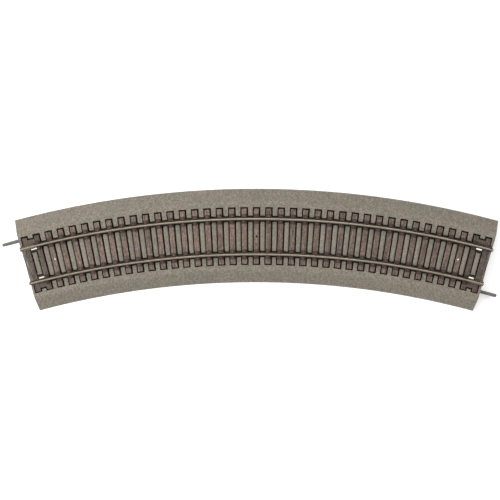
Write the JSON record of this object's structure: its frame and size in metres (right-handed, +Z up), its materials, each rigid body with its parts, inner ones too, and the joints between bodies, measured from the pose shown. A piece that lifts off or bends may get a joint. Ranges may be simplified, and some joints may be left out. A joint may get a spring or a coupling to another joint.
{
  "type": "curved model railway track section",
  "caption": "Curved model railway track section: two rails on brown sleepers in a grey ballast bed, with a coupling tongue and socket at each end.",
  "frame": {"origin": "on the underside plane, below the track centreline at mid-length, on the middle cross rib", "axes": "+X along the track to the right, +Y to the outside of the curve, +Z up"},
  "size_m": [0.2446, 0.0601, 0.0087],
  "materials": {
    "ballast_plastic": "fine ballast texture, matt",
    "sleeper_plastic": "wood grain, matt",
    "end_sleeper_plastic": "wood grain, matt",
    "rail_metal": "drawn nickel silver, worn bright on top",
    "joiner_metal": "folded sheet, dulled",
    "tongue_plastic": "smooth moulded, satin",
    "pin_steel": "plain steel"
  },
  "bodies": {
    "track": {"ballast_bed": "ballast_plastic", "sleeper_strip": "sleeper_plastic", "left_end_sleepers": "end_sleeper_plastic", "right_end_sleepers": "end_sleeper_plastic", "outer_rail": "rail_metal", "inner_rail": "rail_metal", "left_tongue_pin": "pin_steel", "right_tongue_pin": "pin_steel"},
    "left_tongue": {"left_coupling_tongue": "tongue_plastic"},
    "right_tongue": {"right_coupling_tongue": "tongue_plastic"},
    "left_joiner": {"left_rail_joiner": "joiner_metal"},
    "right_joiner": {"right_rail_joiner": "joiner_metal"}
  },
  "joints": [
    {"name": "left_tongue_swing", "type": "hinge", "parent": "track", "child": "left_tongue", "pos_m": [-0.10785, -0.00021, 0.0022], "axis": [0, 0, 1], "range_deg": [-2.5, 2.5], "stiffness_Nm_per_rad": 0.02},
    {"name": "right_tongue_swing", "type": "hinge", "parent": "track", "child": "right_tongue", "pos_m": [0.10123, -0.02494, 0.0022], "axis": [0, 0, 1], "range_deg": [-2.5, 2.5], "stiffness_Nm_per_rad": 0.02},
    {"name": "left_joiner_slide", "type": "slide", "parent": "track", "child": "left_joiner", "axis": [-0.9659, -0.2588, 0], "range_m": [0, 0.0032]},
    {"name": "right_joiner_slide", "type": "slide", "parent": "track", "child": "right_joiner", "axis": [0.9659, -0.2588, 0], "range_m": [0, 0.0032]}
  ]
}
